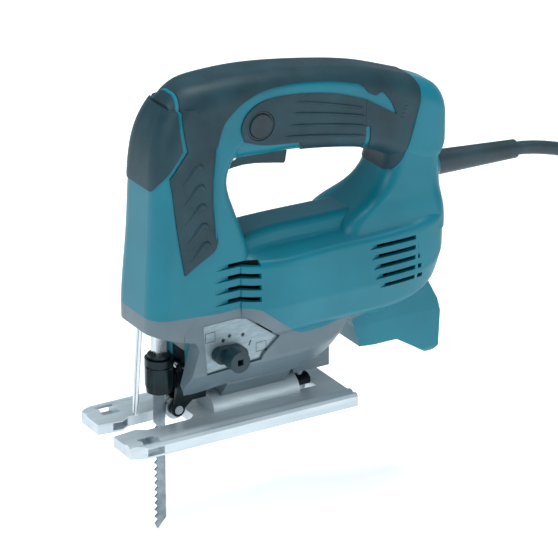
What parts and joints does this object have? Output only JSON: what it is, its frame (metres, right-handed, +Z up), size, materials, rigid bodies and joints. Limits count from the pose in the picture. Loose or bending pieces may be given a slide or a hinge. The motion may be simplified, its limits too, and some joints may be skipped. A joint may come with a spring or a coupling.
{
  "type": "jigsaw",
  "caption": "Corded orbital-action jigsaw with a D handle, tilting cast base, tool-free blade clamp, roller guide, orbit lever, trigger and lock button.",
  "frame": {"origin": "where the blade line crosses the plane of the sole", "axes": "+Z up along the blade line, -X towards the teeth and the front of the tool, +X towards the cord, -Y the side with the orbit lever and lock button"},
  "size_m": [0.5407, 0.0791, 0.2682],
  "materials": {
    "teal_nylon": "satin",
    "charcoal_elastomer": "matte",
    "black_nylon": "satin",
    "dark_plastic": "matte",
    "painted_casting": "satin paint",
    "cast_aluminium": "satin",
    "black_steel": "black oxide",
    "blade_steel": "satin",
    "copper": "satin",
    "bronze": "satin",
    "carbon": "matte",
    "black_rubber": "matte",
    "tie_fabric": "matte",
    "bright_steel": "ground"
  },
  "bodies": {
    "frame": {"brush_holders": "dark_plastic", "carbon_brushes": "carbon", "cord_clamp": "dark_plastic", "cord_guard": "black_rubber", "cord_hank": "black_rubber", "cord_tie": "tie_fabric", "dust_port": "teal_nylon", "fan_baffle": "dark_plastic", "field_coils": "copper", "front_bearing": "bright_steel", "front_shroud": "teal_nylon", "gear_axle": "bright_steel", "gear_housing": "painted_casting", "grip_left": "charcoal_elastomer", "grip_right": "charcoal_elastomer", "guide_pin": "bright_steel", "housing_left": "teal_nylon", "housing_right": "teal_nylon", "housing_screws": "bright_steel", "lever_plate": "painted_casting", "lock_blank": "black_nylon", "lock_ring": "black_nylon", "nose_pad_left": "charcoal_elastomer", "nose_pad_right": "charcoal_elastomer", "plug_body": "black_rubber", "plug_pins": "bright_steel", "power_cord": "black_rubber", "rear_bearing": "bright_steel", "retainer_pin": "bright_steel", "side_pad_left": "charcoal_elastomer", "side_pad_right": "charcoal_elastomer", "stator_core": "bright_steel", "switch_body": "dark_plastic", "trigger_pin": "bright_steel", "wire_guard": "bright_steel"},
    "trigger": {"trigger": "black_nylon"},
    "lock_button": {"lock_button": "black_nylon"},
    "orbit_lever": {"orbit_lever": "black_nylon", "orbit_shaft": "bright_steel"},
    "armature": {"armature_shaft": "bright_steel", "armature_core": "bright_steel", "commutator": "copper", "cooling_fan": "dark_plastic"},
    "crank": {"crank_gear": "bright_steel", "crank_pin": "bright_steel"},
    "plunger_guide": {"plunger_guide": "bright_steel", "guide_bushes": "bronze"},
    "plunger": {"plunger": "bright_steel", "yoke": "bright_steel", "clamp_body": "black_steel", "saw_blade": "blade_steel"},
    "blade_collar": {"blade_collar": "black_steel"},
    "roller_guide": {"roller_guide": "black_steel", "roller_pin": "bright_steel"},
    "roller": {"roller": "bright_steel"},
    "base_carrier": {"base_clamp_plate": "black_steel"},
    "base_clamp_bolt": {"base_clamp_bolt": "bright_steel"},
    "base": {"base_plate": "cast_aluminium"}
  },
  "joints": [
    {"name": "trigger_pull", "type": "hinge", "parent": "frame", "child": "trigger", "pos_m": [0.0414, 0, 0.159], "axis": [0, -1, 0], "range_deg": [0, 9], "stiffness_Nm_per_rad": 0.5, "springref_deg": -20.05},
    {"name": "lock_button_press", "type": "slide", "parent": "frame", "child": "lock_button", "axis": [0, 1, 0], "range_m": [0, 0.0025], "stiffness_N_per_m": 400, "springref_m": -0.003},
    {"name": "orbit_lever_turn", "type": "hinge", "parent": "frame", "child": "orbit_lever", "pos_m": [0.036, 0, 0.046], "axis": [0, 1, 0], "range_deg": [0, 120]},
    {"name": "armature_spin", "type": "hinge", "parent": "frame", "child": "armature", "pos_m": [0.1, 0, 0.078], "axis": [1, 0, 0], "continuous": true},
    {"name": "crank_gear_spin", "type": "hinge", "parent": "frame", "child": "crank", "pos_m": [0.016, 0, 0.0989], "axis": [1, 0, 0], "continuous": true},
    {"name": "orbital_swing", "type": "hinge", "parent": "frame", "child": "plunger_guide", "pos_m": [0.0085, 0, 0.134], "axis": [0, 1, 0], "range_deg": [0, 1], "stiffness_Nm_per_rad": 2, "springref_deg": -5.73},
    {"name": "plunger_stroke", "type": "slide", "parent": "plunger_guide", "child": "plunger", "axis": [0, 0, 1], "range_m": [0, 0.026]},
    {"name": "blade_collar_twist", "type": "hinge", "parent": "plunger", "child": "blade_collar", "pos_m": [0, 0, 0.034], "axis": [0, 0, 1], "range_deg": [0, 35], "stiffness_Nm_per_rad": 0.05, "springref_deg": -22.92},
    {"name": "roller_guide_swing", "type": "hinge", "parent": "frame", "child": "roller_guide", "pos_m": [0.012, 0, 0.0355], "axis": [0, 1, 0], "range_deg": [0, 5.1]},
    {"name": "roller_spin", "type": "hinge", "parent": "roller_guide", "child": "roller", "pos_m": [0.0092, 0, 0.011], "axis": [0, 1, 0], "continuous": true},
    {"name": "base_slide", "type": "slide", "parent": "frame", "child": "base_carrier", "axis": [1, 0, 0], "range_m": [0, 0.01]},
    {"name": "base_tilt", "type": "hinge", "parent": "base_carrier", "child": "base", "pos_m": [0.05, 0, 0.005], "axis": [1, 0, 0], "range_deg": [-45, 45]},
    {"name": "base_clamp_turn", "type": "hinge", "parent": "base_carrier", "child": "base_clamp_bolt", "pos_m": [0.0907, 0, 0.01], "axis": [0, 0, 1], "range_deg": [0, 90]}
  ],
  "couplings": [
    {"joint": "crank_gear_spin", "follows": "armature_spin", "ratio": -0.16667},
    {"joint": "roller_guide_swing", "follows": "orbital_swing", "ratio": 5.02}
  ]
}
